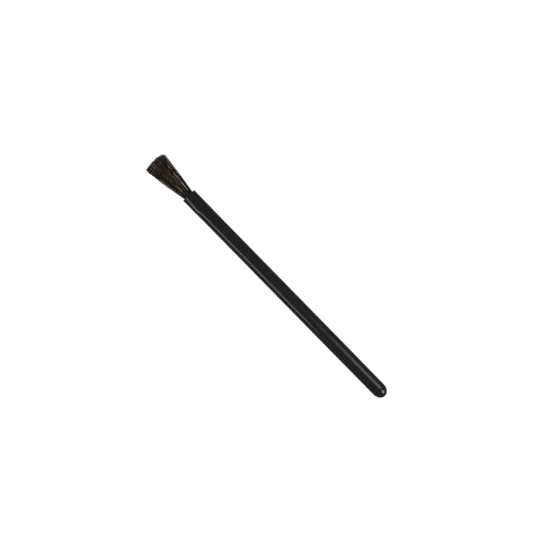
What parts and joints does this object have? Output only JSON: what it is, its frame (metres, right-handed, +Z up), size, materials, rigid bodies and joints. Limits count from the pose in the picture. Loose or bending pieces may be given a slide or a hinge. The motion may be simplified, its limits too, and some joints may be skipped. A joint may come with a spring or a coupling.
{
  "type": "lens cleaning brush",
  "caption": "Slim pencil-like brush for dusting lenses: a round plastic handle with a domed butt and a flared tuft of dark natural hair.",
  "frame": {"origin": "on the handle's flat underside facet, below the handle's axis, at the middle of the handle's length", "axes": "+X along the handle from the tuft to the domed butt, +Y across it, +Z up from the surface that the brush lies on"},
  "size_m": [0.1497, 0.0111, 0.0079],
  "materials": {
    "handle_plastic": "near-black moulded plastic, satin",
    "anchor_metal": "drawn flat wire",
    "hair": "dark brown-black natural hair with a soft sheen"
  },
  "bodies": {
    "root": {"handle": "handle_plastic", "anchor_wire": "anchor_metal", "hair_lock_01": "hair", "hair_lock_02": "hair", "hair_lock_03": "hair", "hair_lock_04": "hair", "hair_lock_05": "hair", "hair_lock_06": "hair", "hair_lock_07": "hair", "hair_lock_08": "hair", "hair_lock_09": "hair", "hair_lock_10": "hair", "hair_lock_11": "hair", "hair_lock_12": "hair", "hair_lock_13": "hair", "hair_lock_14": "hair", "hair_lock_15": "hair", "hair_lock_16": "hair", "hair_lock_17": "hair", "hair_lock_18": "hair"}
  },
  "joints": []
}
